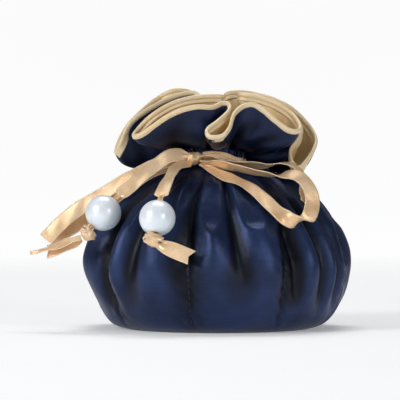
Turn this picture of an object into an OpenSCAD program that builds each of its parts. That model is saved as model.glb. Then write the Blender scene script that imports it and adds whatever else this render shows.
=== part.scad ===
// Round-bottomed satin drawstring pouch with a wavy bound mouth, a ribbon bow and two beads.
// Millimetres, +Z up, origin at the centre of the base, the bow faces -Y.

/* [Cloth] */
// Thickness of the satin shell
shell_t = 0.6; // [0.4:0.1:0.8]
// Thickness of the lining
lining_t = 0.6; // [0.4:0.1:0.7]
// Diameter of the binding round the mouth
binding_d = 2.4; // [2.2:0.1:2.8]

/* [Base] */
// Radius of the round base panel
base_r = 37; // [36.5:0.1:37.2]
// Thickness of the card stiffener in the base
board_t = 1; // [0.6:0.1:1.2]

/* [Ribbon] */
// Width of the drawstring ribbon
ribbon_w = 6; // [5:0.5:6]
// Thickness of the drawstring ribbon
ribbon_t = 0.6; // [0.4:0.1:0.6]

/* [Beads] */
// Diameter of the beads
bead_d = 14; // [12:0.5:14]
// Radius of the hole through each bead
bead_hole_r = 1.75; // [1.7:0.05:2]

/* [Pockets] */
// Number of pockets round the inside
pockets = 8; // [8]
// Height of the pocket wall's top edge
pocket_top = 29; // [24:1:30]
// How far a pocket stands off the lining at its middle
pocket_bulge = 7; // [4:0.5:9]

/* [Hidden] */

AROUND = 96;
CASING_GAP = 1.2;
PANEL_GAP = 0.2;
UP = [0, 0, 1];

NAVY = [0.12, 0.16, 0.33];
SATIN_GOLD = [0.87, 0.76, 0.55];
RIBBON_GOLD = [0.93, 0.78, 0.60];
PEARL = [0.88, 0.91, 0.95];

// Middle of the cloth, radius and height, from the base edge up to the top of the drawstring casing
BODY = [[37.6, 0.6], [41, 1.6], [44.2, 4], [47, 8], [49.7, 14], [51.7, 22], [51.6, 28], [49.6, 34.5],
    [46.3, 41], [41.2, 48.6], [33.4, 56], [25, 60.8], [17, 64.1], [11.6, 66], [11, 68.5], [11, 71.5], [10.6, 73]];
// First and last rings of the casing, where the shell and the lining part to let the ribbon through
CASING = [13, 15];
// The height of the casing's lower and upper rows of stitches
CASING_LOW = 66.6;
CASING_HIGH = 71.9;

// The mouth edge, anticlockwise from above, starting in the valley between the two left-hand lobes
MOUTH = [[1.5, -14, 92.5], [-6, -16, 92.5], [-13, -17.5, 91.5], [-20, -18, 89], [-27, -17.5, 84.5],
    [-31.5, -17, 80], [-33.6, -19.3, 76.8], [-30.5, -22.5, 77.6], [-25.5, -24.5, 81],
    [-19.5, -26, 85], [-14, -27, 87.4], [-8, -27.3, 88.4], [-2.5, -26, 88.2], [1.2, -23.2, 89.8],
    [4.3, -22.8, 89.2], [3.8, -27, 86.4], [-0.5, -32, 82.4], [-4.5, -36, 79.2],
    [-3.6, -38.4, 76.6], [1.2, -37.6, 76.8], [4.2, -34.5, 80], [6, -29.5, 85.4],
    [9.5, -25.3, 88.6], [14, -23.8, 89.2], [18.5, -24.6, 86.6], [23, -25.5, 82.6],
    [28, -25.2, 79.2], [31.6, -22.8, 79], [32, -18.5, 81.6], [29, -13.5, 86], [24, -11, 89.4],
    [17, -8.5, 92.2], [9.5, -7, 93.4], [8.5, -4.5, 93.8], [14, -3.2, 93.2], [21, -3.2, 90.5],
    [28.5, -4, 85.5], [33.2, -6.5, 80], [31.5, -10, 75.5], [28.8, -12.4, 71.5],
    [29, -15.4, 67.2], [31.8, -17, 64.4], [34.8, -15, 67], [37.8, -11.5, 71.5], [39, -7, 75.3],
    [37.4, -3, 79.5], [33.5, 0.5, 84.5], [28.5, 3, 88.8], [22, 5.3, 91.8], [15, 5.6, 93.4],
    [14.5, 8.4, 93.6], [21, 9.4, 92.4], [25.3, 12.4, 90.5], [22.5, 15.6, 92], [15, 15.4, 94],
    [8.5, 13, 94.8], [3.5, 12.4, 94], [3, 18, 91], [6.5, 26, 85], [5, 34.5, 78.5],
    [-2, 37.5, 76.5], [-9, 35, 78.5], [-11, 27, 84.5], [-8, 18, 90.5], [-10, 12, 94.3],
    [-17, 9.4, 95.5], [-24, 10.4, 92.5], [-31, 8.6, 86.8], [-36.5, 5, 81], [-40, 0.5, 74.3],
    [-40.8, -4, 70.3], [-39, -6.6, 74.5], [-35.5, -6.6, 81.5], [-30, -5.6, 86.3],
    [-23, -4.4, 90.3], [-15.5, -3.2, 93.4], [-9, -3.6, 94.2], [-6.5, -6.4, 91.4],
    [-1, -9.6, 90.8]];
// Where round the neck the cloth of the first mouth point starts
NECK_START = 196;
// The direction that the bow faces
FRONT = 258;
// Steps of cloth between the neck and the mouth edge
FRILL_STEPS = 5;

// The ribbons: place, face direction, width share and thickness share at each point
KNOT = [-9.6, -16.2, 67.6];
EXIT_LEFT = [[-6, -15.4, 67, 0, -1, 0.3, 0.6, 1.6], [-2.5, -15.2, 66.6, 0, -1, 0.4, 0.8, 1.2],
    [0.6, -14.4, 66.2, 0.1, -1, 0.3, 0.7, 1.2], [2, -12.6, 67, 0.6, -1, 0, 0.6, 1.2],
    [1.6, -11.9, 68.4, 0.2, -1, 0, 0.5, 1.2]];
EXIT_RIGHT = [[-6, -15, 68.8, 0, -1, 0.6, 0.5, 1.6], [-2, -15.8, 69.4, 0.1, -1, 0.7, 0.5, 1.2],
    [2.4, -15.8, 68.8, 0, -1, 0.8, 0.45, 1.2], [6.4, -15.2, 67.2, 0, -1, 0.6, 0.4, 1.2],
    [9.6, -13.6, 66.6, 0.4, -0.8, 0.8, 0.4, 1.2], [10.4, -11.6, 67.2, 1, -0.6, 0.6, 0.4, 1.2]];
LOOP_RIGHT_FRONT = [[-3.2, -22.6, 66, 0.2, 0.6, 1, 0.5, 1.6], [1, -24.6, 65.2, 0.2, 0.6, 1],
    [6, -26.2, 64.2, 0, 0.6, 1], [12, -27.4, 62.8, 0, 0.5, 1], [18, -28.2, 61.6, 0, 0.3, 1],
    [23.6, -28.2, 60.9, 0.1, -0.1, 1], [28, -28.4, 61.4, 0.3, -0.6, 1],
    [31.6, -28.2, 60.6, 0.6, -1, 0.7], [34.6, -28, 57.6, 0.7, -1, 0.3],
    [36.4, -28.2, 53.4, 0.3, -1, 0.1], [36.6, -29.6, 49.6, 0.3, -1, 0.3],
    [35.6, -32.4, 46, 0.3, -0.7, 0.7], [34.4, -34.6, 44.4, 0.3, -0.2, 1],
    [32.3, -36.8, 43.4, 0.2, 0.4, 0.9], [30.2, -38.7, 43.1, 0.1, 0.9, 0.5],
    [27.8, -39.8, 43.8, 0, 1, 0.15], [23.6, -39.2, 46.6, -0.3, 0.8, -0.3],
    [18.4, -37, 51.4, -0.3, 0.7, -0.6], [13.3, -33.8, 56, -0.25, 0.6, -0.8],
    [8, -30.6, 58.8, -0.15, 0.5, -0.9], [2.2, -27.2, 61, 0, 0.5, -1],
    [-2.6, -24.4, 62.4, 0, 0.7, -1, 0.5, 1.6]];
LOOP_RIGHT_BACK = [[-5.4, -18.8, 68, -0.3, 0.4, 1, 0.5, 1.6], [-2, -19.8, 67.3, 0.1, 0.5, 1],
    [1.5, -21.4, 66.2, 0.2, 0.5, 1], [6.6, -22.6, 65.3, 0, 0.5, 1], [12.4, -23, 65, 0, 0.5, 1],
    [18.3, -22.4, 64.7, 0, 0.3, 1], [24.2, -22.8, 65.8, 0.1, 0, 1],
    [28.5, -23, 65.4, 0.5, -0.3, 1], [32, -23.2, 62.8, 0.9, -0.4, 0.5],
    [33.6, -23.6, 58, 1, -0.7, 0.2], [34, -24.4, 53.4, 1, -1, 0], [34, -27, 50, 0.8, -1, -0.2],
    [33.4, -30.6, 47, 0.5, -0.9, -0.3]];
LOOP_LEFT = [[-13.6, -16.4, 69.4, -0.2, -0.6, 0.8, 0.5, 1.6], [-17, -16.8, 68.2, -0.35, -0.8, 0.6],
    [-21.5, -17.2, 66.2, -0.3, -1, 0.5], [-28, -16.6, 63.6, -0.3, -1, 0.5],
    [-35, -16.6, 60, -0.3, -1, 0.5], [-45, -16.4, 54, -0.3, -1, 0.4],
    [-51, -16.4, 50.4, -0.3, -1, 0.3], [-57, -16.4, 46.4, -0.3, -1, 0.2],
    [-62.4, -16.4, 41.8, -0.4, -1, 0], [-66.6, -16.2, 37.4, -0.6, -0.8, -0.3],
    [-68, -14.8, 35.8, -0.7, 0, -0.7], [-66.6, -13.4, 36.4, -0.3, 0.8, -0.6],
    [-62.4, -12.8, 38, 0.1, 1, -0.5], [-56.8, -12.8, 40.8, 0.2, 1, -0.4],
    [-51.7, -12.8, 44.4, 0.3, 1, -0.4], [-42.8, -13, 50.8, 0.3, 1, -0.4],
    [-35, -13.2, 56.8, 0.3, 1, -0.4], [-28, -13.8, 62, 0.3, 1, -0.4],
    [-20.5, -13.2, 65, 0.3, 1, -0.4], [-14, -13.4, 66.8, 0.2, 1, -0.3, 0.5, 1.6]];
TAIL_LEFT = [[-13.6, -18.6, 70.4, -0.2, -1, 0.3, 0.5, 1.6], [-18.6, -19.6, 68.8, -0.3, -1, 0.4],
    [-23.8, -20.8, 65.6, -0.3, -1, 0.5], [-29.8, -22.6, 60.8, -0.3, -1, 0.6],
    [-34.6, -24, 56.6, -0.3, -1, 0.6], [-36.6, -24.6, 54.9, -0.3, -1, 0.5, 0.8, 1.4],
    [-39, -25.3, 53.1, -0.3, -1, 0.5, 0.36, 3.4], [-45, -27, 46.4, -0.3, -1, 0.5, 0.36, 3.4],
    [-48.4, -28, 42.4, -0.3, -1, 0.5, 0.36, 3.4], [-50, -28.4, 40.4, -0.3, -1, 0.5, 0.36, 3.4]];
TAIL_FRONT = [[-12.4, -21, 65.2, -0.4, -1, 0.4, 0.5, 1.6], [-16.4, -25, 64.2, -0.5, -0.9, 0.6],
    [-18.6, -30.4, 61.2, -0.5, -0.8, 0.7], [-20.2, -35.4, 58.6, -0.5, -0.7, 0.7],
    [-21.4, -40, 55.6, -0.3, -0.8, 0.7, 0.8, 1.4],
    [-22.3, -43.4, 52.8, -0.2, -0.9, 0.5, 0.36, 3.4],
    [-23.6, -47.6, 44.9, -0.1, -1, 0.3, 0.36, 3.4], [-24.6, -50.5, 39.6, 0, -1, 0.2, 0.36, 3.4]];
STOP_LEFT = [-51.4, -28.9, 38.6];
STOP_FRONT = [-25.2, -52.2, 36.8];
TIP_LEFT_WIDE = [[-53.6, -28.4, 36.4, -0.2, -1, 0.4, 0.5, 2], [-56.6, -27.8, 34.8, -0.1, -1, 0.7, 0.9, 1],
    [-61, -26.8, 33, 0, -1, 1], [-66.4, -25.6, 31.4, 0, -1, 0.8]];
TIP_LEFT_THIN = [[-53.6, -30.2, 37, -0.2, -0.6, 1, 0.4, 2], [-58, -30.4, 35.6, 0.1, -0.5, 1, 0.7, 1],
    [-64, -29.2, 33.2, 0.1, -0.5, 1, 0.7, 1], [-70, -27.2, 31.4, 0.1, -0.5, 1, 0.5, 1],
    [-73.6, -26, 30.6, 0.1, -0.5, 1, 0.15, 1]];
TIP_FRONT = [[-23.2, -53.4, 35.2, 0, -1, 0.2, 0.6, 2], [-20, -54.2, 33.8, 0.1, -1, 0.2, 0.9, 1],
    [-16, -54.6, 32.2, 0.1, -1, 0.1], [-11.6, -54.8, 30.4, 0.2, -1, 0.1]];

// ---- vectors and curves ----

function unit(v) = v / norm(v);
function xyz(p) = [p[0], p[1], p[2]];
function polar(r, a, z) = [r * cos(a), r * sin(a), z];
function total(v) = [for (i = 0, s = 0; i < len(v); s = s + v[i], i = i + 1) s + v[i]];

// A point on the smooth curve from b to c, with a and d the points before and after
function smooth(a, b, c, d, t) =
    0.5 * (2 * b + t * (c - a) + t * t * (2 * a - 5 * b + 4 * c - d) + t * t * t * (3 * b - a - 3 * c + d));

// The closed smooth curve through the points, at place u, in points
function ring_at(pts, u) =
    let (n = len(pts), i = floor(u))
    smooth(pts[(i + n - 1) % n], pts[i % n], pts[(i + 1) % n], pts[(i + 2) % n], u - i);

// ---- the cloth's middle surface ----

MOUTH_STEPS = [for (i = [0:len(MOUTH) - 1]) norm(MOUTH[(i + 1) % len(MOUTH)] - MOUTH[i])];
MOUTH_RUN = total(MOUTH_STEPS);
MOUTH_LENGTH = MOUTH_RUN[len(MOUTH_RUN) - 1];
// Place along the mouth's point list at a distance along the edge
function mouth_place(s) =
    let (i = len([for (r = MOUTH_RUN) if (r <= s) 1]), before = (i == 0) ? 0 : MOUTH_RUN[i - 1])
    i + (s - before) / MOUTH_STEPS[i];
EDGE = [for (k = [0:AROUND - 1]) ring_at(MOUTH, mouth_place((k + 0.001) * MOUTH_LENGTH / AROUND))];

function neck_angle(k) = NECK_START + 360 * k / AROUND;
function neck_point(k) =
    let (top = BODY[len(BODY) - 1])
    polar(top[0], neck_angle(k), top[1]);
// How far the cloth sinks beside the neck: least at the front, where it stands behind the bow
function sag(k, reach) = (13 - 11 * pow(max(0, cos(neck_angle(k) - FRONT)), 0.7)) * min(1, reach / 20);
// The cloth falls out of the neck, leans over the shoulder and turns up to the edge
function frill_point(k, u) =
    let (a = neck_point(k), d = EDGE[k], flat = [d[0] - a[0], d[1] - a[1], 0], low = sag(k, norm(flat)))
    pow(1 - u, 3) * a + 3 * pow(1 - u, 2) * u * (a + 0.3 * flat - low * UP)
        + 3 * (1 - u) * u * u * (a + 0.92 * flat + (0.3 * (d[2] - a[2]) - low) * UP) + u * u * u * d;

MIDDLE = concat(
    [for (p = BODY) [for (k = [0:AROUND - 1]) polar(p[0], neck_angle(k), p[1])]],
    [for (j = [1:FRILL_STEPS]) [for (k = [0:AROUND - 1]) frill_point(k, j / FRILL_STEPS)]]);
ROWS = len(MIDDLE);

function outward(j, k) =
    let (up = MIDDLE[min(j + 1, ROWS - 1)][k] - MIDDLE[max(j - 1, 0)][k],
        along = MIDDLE[j][(k + 1) % AROUND] - MIDDLE[j][(k + AROUND - 1) % AROUND])
    unit(cross(along, up));
OUTWARD = [for (j = [0:ROWS - 1]) [for (k = [0:AROUND - 1]) outward(j, k)]];

// The middle surface moved outward by a distance that is wider inside the casing
function layer(d, casing_d) =
    [for (j = [0:ROWS - 1]) for (k = [0:AROUND - 1])
        MIDDLE[j][k] + ((j >= CASING[0] && j <= CASING[1]) ? casing_d : d) * OUTWARD[j][k]];

function band_faces(rows, around, first, flip) =
    [for (j = [0:rows - 2]) for (k = [0:around - 1])
        let (a = first + j * around + k, b = first + j * around + (k + 1) % around)
        for (f = [[a, a + around, b + around], [a, b + around, b]]) flip ? [f[2], f[1], f[0]] : f];
function rim_faces(around, inner, outer, flip) =
    [for (k = [0:around - 1])
        let (n = (k + 1) % around)
        for (f = [[inner + k, outer + k, outer + n], [inner + k, outer + n, inner + n]])
            flip ? [f[2], f[1], f[0]] : f];

// A closed shell between an inner and an outer layer, both lists of rows from the bottom up
module cloth(inner, outer, rows, around) {
    n = rows * around;
    last = (rows - 1) * around;
    polyhedron(points = concat(outer, inner), faces = concat(
        band_faces(rows, around, 0, false), band_faces(rows, around, n, true),
        rim_faces(around, n, 0, false), rim_faces(around, n + last, last, true)), convexity = 12);
}

// ---- sweeps ----

// A flat ribbon along hand-placed points, each with its face direction and optional width and thickness shares
module ribbon(route) {
    n = len(route);
    at = function(i) xyz(route[i]);
    share = function(i, c) len(route[i]) > c ? route[i][c] : 1;
    corners = [for (i = [0:n - 1])
        let (t = unit(at(min(i + 1, n - 1)) - at(max(i - 1, 0))),
            face = [route[i][3], route[i][4], route[i][5]],
            w = unit(cross(t, face)) * ribbon_w * share(i, 6) / 2,
            h = unit(cross(unit(cross(t, face)), t)) * ribbon_t * share(i, 7) / 2)
        for (c = [w + h, h - w, -w - h, w - h]) at(i) + c];
    polyhedron(points = corners, faces = concat(
        [for (i = [0:n - 2]) for (k = [0:3])
            let (a = 4 * i + k, b = 4 * i + (k + 1) % 4)
            for (f = (k < 2) ? [[b, b + 4, a + 4], [b, a + 4, a]] : [[b, b + 4, a], [b + 4, a + 4, a]]) f],
        [[0, 2, 1], [0, 3, 2], [4 * n - 4, 4 * n - 3, 4 * n - 2], [4 * n - 4, 4 * n - 2, 4 * n - 1]]),
        convexity = 8);
}

// A closed round tube along a ring of points, its section laid out by an outward direction at each
module ring_tube(path, side, d, sides) {
    n = len(path);
    points = [for (i = [0:n - 1])
        let (t = unit(path[(i + 1) % n] - path[(i + n - 1) % n]), u = unit(side[i] - (side[i] * t) * t),
            v = cross(t, u))
        for (k = [0:sides - 1]) path[i] + d / 2 * (cos(360 * k / sides) * u + sin(360 * k / sides) * v)];
    polyhedron(points = points, faces = [for (i = [0:n - 1]) for (k = [0:sides - 1])
        let (a = i * sides + k, b = i * sides + (k + 1) % sides, m = ((i + 1) % n) * sides,
            c = m + k, e = m + (k + 1) % sides)
        for (f = [[a, e, b], [a, c, e]]) f], convexity = 12);
}

// Turns children from +Z to a direction
module aim(v) {
    rotate([0, acos(v[2] / norm(v)), atan2(v[1], v[0])])
        children();
}

// A barrel-shaped knot, on the Z axis
module barrel(r, half) {
    steps = 8;
    rotate_extrude($fn = 32)
        polygon(concat([[0, -half]],
            [for (i = [0:steps]) let (a = -75 + 150 * i / steps) [r * (0.25 + 0.75 * cos(a)), half * sin(a) / sin(75)]],
            [[0, half]]));
}

module pearl(hole) {
    difference() {
        sphere(d = bead_d, $fn = 64);
        cylinder(r = hole, h = bead_d + 2, center = true, $fn = 48);
    }
}

// ---- bag ----

module outer_shell() {
    color(NAVY)
        cloth(layer(0, 0), layer(shell_t, shell_t), ROWS, AROUND);
}

module lining() {
    color(SATIN_GOLD)
        cloth(layer(-lining_t, -lining_t - CASING_GAP), layer(0, -CASING_GAP), ROWS, AROUND);
}

module base_panel() {
    color(NAVY)
        cylinder(r = base_r - PANEL_GAP, h = shell_t, $fn = 96);
}

module base_board() {
    color("tan")
        translate([0, 0, shell_t])
            cylinder(r = base_r - 1.5, h = board_t, $fn = 96);
}

module base_lining() {
    color(SATIN_GOLD)
        translate([0, 0, shell_t + board_t])
            cylinder(r = base_r - 0.8, h = lining_t, $fn = 96);
}

// ---- inner pockets ----

// Where the first pocket seam lies
SEAM_TURN = 31;
POCKET_AROUND = 64;
POCKET_ROWS = 5;
POCKET_FOOT = 5;
POCKET_CLEAR = 1.4;
function body_r(z) = lookup(z, [for (p = BODY) [p[1], p[0]]]);
function pocket_line(i, z, inset) =
    let (a = 360 * i / POCKET_AROUND, rise = (z - POCKET_FOOT) / (pocket_top - POCKET_FOOT),
        off = POCKET_CLEAR + pocket_bulge * (0.25 + 0.75 * rise) * abs(sin(pockets * a / 2)))
    polar(body_r(z) - off - inset, a + SEAM_TURN, z);
function pocket_layer(inset) =
    [for (j = [0:POCKET_ROWS - 1]) for (i = [0:POCKET_AROUND - 1])
        pocket_line(i, POCKET_FOOT + (pocket_top - POCKET_FOOT) * j / (POCKET_ROWS - 1), inset)];

module pocket_ring() {
    color(SATIN_GOLD)
        cloth(pocket_layer(0.6), pocket_layer(0), POCKET_ROWS, POCKET_AROUND);
}

module pocket_elastic() {
    path = [for (i = [0:POCKET_AROUND - 1]) pocket_line(i, pocket_top, 0.3) + [0, 0, 0.8]];
    color("ivory")
        ring_tube(path, [for (p = path) UP], 1.2, 6);
}

// Short stitches in eight rows up the side, which close the pockets
module pocket_seam_stitches() {
    color(NAVY)
        for (i = [0:pockets - 1], z = [8:3:26])
            rotate([0, 0, SEAM_TURN + 360 * i / pockets])
                translate([body_r(z) + shell_t, 0, z])
                    rotate([0, atan2(body_r(z + 1) - body_r(z - 1), 2), 0])
                        cylinder(r = 0.2, h = 1.8, center = true, $fn = 16);
}

// ---- mouth and casing ----

module mouth_binding() {
    color(SATIN_GOLD)
        ring_tube([for (k = [0:AROUND - 1]) EDGE[k]], OUTWARD[ROWS - 1], binding_d, 8);
}

module stitch_ring(z) {
    color(NAVY)
        translate([0, 0, z])
            rotate_extrude($fn = 96)
                translate([body_r(z) + shell_t + 0.1, 0])
                    circle(r = 0.2, $fn = 16);
}

module casing_stitch_upper() {
    stitch_ring(CASING_HIGH);
}

module casing_stitch_lower() {
    stitch_ring(CASING_LOW);
}

module casing_ribbon() {
    color(RIBBON_GOLD)
        rotate([0, 0, -62])
            translate([0, 0, 68.7])
                rotate_extrude(angle = 325, $fn = 96)
                    translate([BODY[14][0] - 0.85, 0])
                        square([ribbon_t, 2.8], center = true);
}

module buttonhole(a) {
    color(NAVY)
        rotate([0, 0, a])
            translate([BODY[14][0] + shell_t - 0.1, 0, 68.6])
                rotate([0, 90, 0])
                    linear_extrude(height = 0.7)
                        difference() {
                            square([4, 1.8], center = true);
                            square([3, 0.8], center = true);
                        }
}

module buttonhole_left() {
    buttonhole(-82);
}

module buttonhole_right() {
    buttonhole(-46);
}

// ---- drawstring ----

module exit_strand_left() {
    color(RIBBON_GOLD)
        ribbon(EXIT_LEFT);
}

module exit_strand_right() {
    color(RIBBON_GOLD)
        ribbon(EXIT_RIGHT);
}

module bow_knot() {
    color(RIBBON_GOLD)
        translate(KNOT)
            aim([1, -0.1, -0.2])
                barrel(3, 3.2);
}

module bow_loop_right_front() {
    color(RIBBON_GOLD)
        ribbon(LOOP_RIGHT_FRONT);
}

module bow_loop_right_back() {
    color(RIBBON_GOLD)
        ribbon(LOOP_RIGHT_BACK);
}

module bow_loop_left() {
    color(RIBBON_GOLD)
        ribbon(LOOP_LEFT);
}

module tail_left() {
    color(RIBBON_GOLD)
        ribbon(TAIL_LEFT);
}

module tail_front() {
    color(RIBBON_GOLD)
        ribbon(TAIL_FRONT);
}

// Each bead is threaded on the straight part of its tail
function bead_axis(route, i) = unit(xyz(route[i + 1]) - xyz(route[i - 1]));

module bead_left() {
    color(PEARL)
        translate(xyz(TAIL_LEFT[7]))
            aim(bead_axis(TAIL_LEFT, 7))
                pearl(bead_hole_r);
}

module bead_front() {
    color(PEARL)
        translate(xyz(TAIL_FRONT[6]))
            aim(bead_axis(TAIL_FRONT, 6))
                pearl(bead_hole_r);
}

module stop_knot_left() {
    color(RIBBON_GOLD)
        translate(STOP_LEFT)
            aim([1, 0.25, -0.8])
                barrel(2.4, 3.2);
}

module stop_knot_front() {
    color(RIBBON_GOLD)
        translate(STOP_FRONT)
            aim([1, 0, -0.2])
                barrel(2.2, 3.8);
}

module tip_left_wide() {
    color(RIBBON_GOLD)
        ribbon(TIP_LEFT_WIDE);
}

module tip_left_thin() {
    color(RIBBON_GOLD)
        ribbon(TIP_LEFT_THIN);
}

module tip_front() {
    color(RIBBON_GOLD)
        ribbon(TIP_FRONT);
}

outer_shell();
lining();
base_panel();
base_board();
base_lining();
pocket_ring();
pocket_elastic();
pocket_seam_stitches();
mouth_binding();
casing_stitch_upper();
casing_stitch_lower();
casing_ribbon();
buttonhole_left();
buttonhole_right();
exit_strand_left();
exit_strand_right();
bow_knot();
bow_loop_right_front();
bow_loop_right_back();
bow_loop_left();
tail_left();
tail_front();
bead_left();
bead_front();
stop_knot_left();
stop_knot_front();
tip_left_wide();
tip_left_thin();
tip_front();
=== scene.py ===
"""Looks for the satin drawstring pouch: cloth, ribbon bow, beads, stage and lights, in metres."""

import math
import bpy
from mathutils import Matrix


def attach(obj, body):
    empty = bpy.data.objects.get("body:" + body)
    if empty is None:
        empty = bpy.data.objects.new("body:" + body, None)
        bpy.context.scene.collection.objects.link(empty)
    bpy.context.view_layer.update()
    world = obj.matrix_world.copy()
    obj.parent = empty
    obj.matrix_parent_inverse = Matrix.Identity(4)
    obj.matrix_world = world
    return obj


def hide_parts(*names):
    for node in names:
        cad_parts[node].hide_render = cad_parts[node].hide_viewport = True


bl_info = {
    "name": "Satin Drawstring Pouch",
    "version": (1, 0, 0),
    "blender": (4, 5, 0),
    "location": "View3D > Sidebar > Pouch",
    "description": "Builds a satin drawstring pouch with a ribbon bow and two beads around its frame",
    "category": "Add Mesh",
}

import bmesh
import bpy
import numpy as np
from mathutils import Vector

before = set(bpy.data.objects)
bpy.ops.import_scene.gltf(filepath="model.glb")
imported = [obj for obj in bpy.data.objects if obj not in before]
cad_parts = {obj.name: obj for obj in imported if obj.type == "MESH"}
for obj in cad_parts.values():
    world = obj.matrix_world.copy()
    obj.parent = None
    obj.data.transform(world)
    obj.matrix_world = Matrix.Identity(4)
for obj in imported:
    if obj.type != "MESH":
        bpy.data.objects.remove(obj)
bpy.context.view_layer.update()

MM = 0.001
UP = np.array([0.0, 0.0, 1.0])

# The middle of the cloth, radius and height in millimetres, from the base edge to the top of the casing
BODY = [(37.6, 0.6), (41, 1.6), (44.2, 4), (47, 8), (49.7, 14), (51.7, 22), (51.6, 28), (49.6, 34.5),
        (46.3, 41), (41.2, 48.6), (33.4, 56), (25, 60.8), (17, 64.1), (11.6, 66), (11, 68.5), (11, 71.5),
        (10.6, 73)]
# The mouth edge in millimetres, anticlockwise from above, from the valley between the two left-hand lobes
MOUTH = [(1.5, -14, 92.5), (-6, -16, 92.5), (-13, -17.5, 91.5), (-20, -18, 89), (-27, -17.5, 84.5),
         (-31.5, -17, 80), (-33.6, -19.3, 76.8), (-30.5, -22.5, 77.6), (-25.5, -24.5, 81),
         (-19.5, -26, 85), (-14, -27, 87.4), (-8, -27.3, 88.4), (-2.5, -26, 88.2), (1.2, -23.2, 89.8),
         (4.3, -22.8, 89.2), (3.8, -27, 86.4), (-0.5, -32, 82.4), (-4.5, -36, 79.2),
         (-3.6, -38.4, 76.6), (1.2, -37.6, 76.8), (4.2, -34.5, 80), (6, -29.5, 85.4),
         (9.5, -25.3, 88.6), (14, -23.8, 89.2), (18.5, -24.6, 86.6), (23, -25.5, 82.6),
         (28, -25.2, 79.2), (31.6, -22.8, 79), (32, -18.5, 81.6), (29, -13.5, 86), (24, -11, 89.4),
         (17, -8.5, 92.2), (9.5, -7, 93.4), (8.5, -4.5, 93.8), (14, -3.2, 93.2), (21, -3.2, 90.5),
         (28.5, -4, 85.5), (33.2, -6.5, 80), (31.5, -10, 75.5), (28.8, -12.4, 71.5),
         (29, -15.4, 67.2), (31.8, -17, 64.4), (34.8, -15, 67), (37.8, -11.5, 71.5), (39, -7, 75.3),
         (37.4, -3, 79.5), (33.5, 0.5, 84.5), (28.5, 3, 88.8), (22, 5.3, 91.8), (15, 5.6, 93.4),
         (14.5, 8.4, 93.6), (21, 9.4, 92.4), (25.3, 12.4, 90.5), (22.5, 15.6, 92), (15, 15.4, 94),
         (8.5, 13, 94.8), (3.5, 12.4, 94), (3, 18, 91), (6.5, 26, 85), (5, 34.5, 78.5),
         (-2, 37.5, 76.5), (-9, 35, 78.5), (-11, 27, 84.5), (-8, 18, 90.5), (-10, 12, 94.3),
         (-17, 9.4, 95.5), (-24, 10.4, 92.5), (-31, 8.6, 86.8), (-36.5, 5, 81), (-40, 0.5, 74.3),
         (-40.8, -4, 70.3), (-39, -6.6, 74.5), (-35.5, -6.6, 81.5), (-30, -5.6, 86.3),
         (-23, -4.4, 90.3), (-15.5, -3.2, 93.4), (-9, -3.6, 94.2), (-6.5, -6.4, 91.4),
         (-1, -9.6, 90.8)]
NECK_START = 196
FRONT = 258
SEAM_TURN = 31

# The ribbons in millimetres. A row of a route is a place, the way its face looks and its share of the width.
# TUCKED is where each ribbon starts inside the knot.
KNOT = (-9.6, -16.2, 67.6)
TUCKED = {"ribbon_loop_right_front": (-7.0, -18.6, 66.4), "ribbon_loop_right_back": (-7.4, -17.0, 68.4),
          "ribbon_loop_left": (-11.4, -16.2, 69.0), "ribbon_tie_left": (-11.4, -17.4, 68.8),
          "ribbon_tie_front": (-10.6, -18.0, 66.6)}
EXIT_LEFT = [(-6, -15.4, 67, 0, -1, 0.3, 0.6), (-2.5, -15.2, 66.6, 0, -1, 0.4, 0.8),
             (0.6, -14.4, 66.2, 0.1, -1, 0.3, 0.7), (2, -12.6, 67, 0.6, -1, 0, 0.6),
             (1.6, -11.9, 68.4, 0.2, -1, 0, 0.5)]
EXIT_RIGHT = [(-6, -15, 68.8, 0, -1, 0.6, 0.5), (-2, -15.8, 69.4, 0.1, -1, 0.7, 0.5),
              (2.4, -15.8, 68.8, 0, -1, 0.8, 0.45), (6.4, -15.2, 67.2, 0, -1, 0.6, 0.4),
              (9.6, -13.6, 66.6, 0.1, -1, 0.7, 0.45), (10.4, -11.6, 67.2, 0.2, -1, 0.7, 0.4)]
LOOP_RIGHT_FRONT = [(-3.2, -22.6, 66, 0.2, 0.6, 1, 0.5), (1, -24.6, 65.2, 0.2, 0.6, 1),
                    (6, -26.2, 64.2, 0, 0.6, 1), (12, -27.4, 62.8, 0, 0.5, 1), (18, -28.2, 61.6, 0, 0.3, 1),
                    (23.6, -28.2, 60.9, 0.1, -0.1, 1), (28, -28.4, 61.4, 0.3, -0.6, 1),
                    (31.6, -28.2, 60.6, 0.6, -1, 0.7), (34.6, -28, 57.6, 0.7, -1, 0.3),
                    (36.4, -28.2, 53.4, 0.3, -1, 0.1), (36.6, -29.6, 49.6, 0.3, -1, 0.3),
                    (35.6, -32.4, 46, 0.3, -0.7, 0.7), (34.4, -34.6, 44.4, 0.3, -0.2, 1),
                    (32.3, -36.8, 43.4, 0.2, 0.4, 0.9), (30.2, -38.7, 43.1, 0.1, 0.9, 0.5),
                    (27.8, -39.8, 43.8, 0, 1, 0.15), (23.6, -39.2, 46.6, -0.3, 0.8, -0.3),
                    (18.4, -37, 51.4, -0.3, 0.7, -0.6), (13.3, -33.8, 56, -0.25, 0.6, -0.8),
                    (8, -30.6, 58.8, -0.15, 0.5, -0.9), (2.2, -27.2, 61, 0, 0.5, -1),
                    (-2.6, -24.4, 62.4, 0, 0.7, -1, 0.5)]
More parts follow.
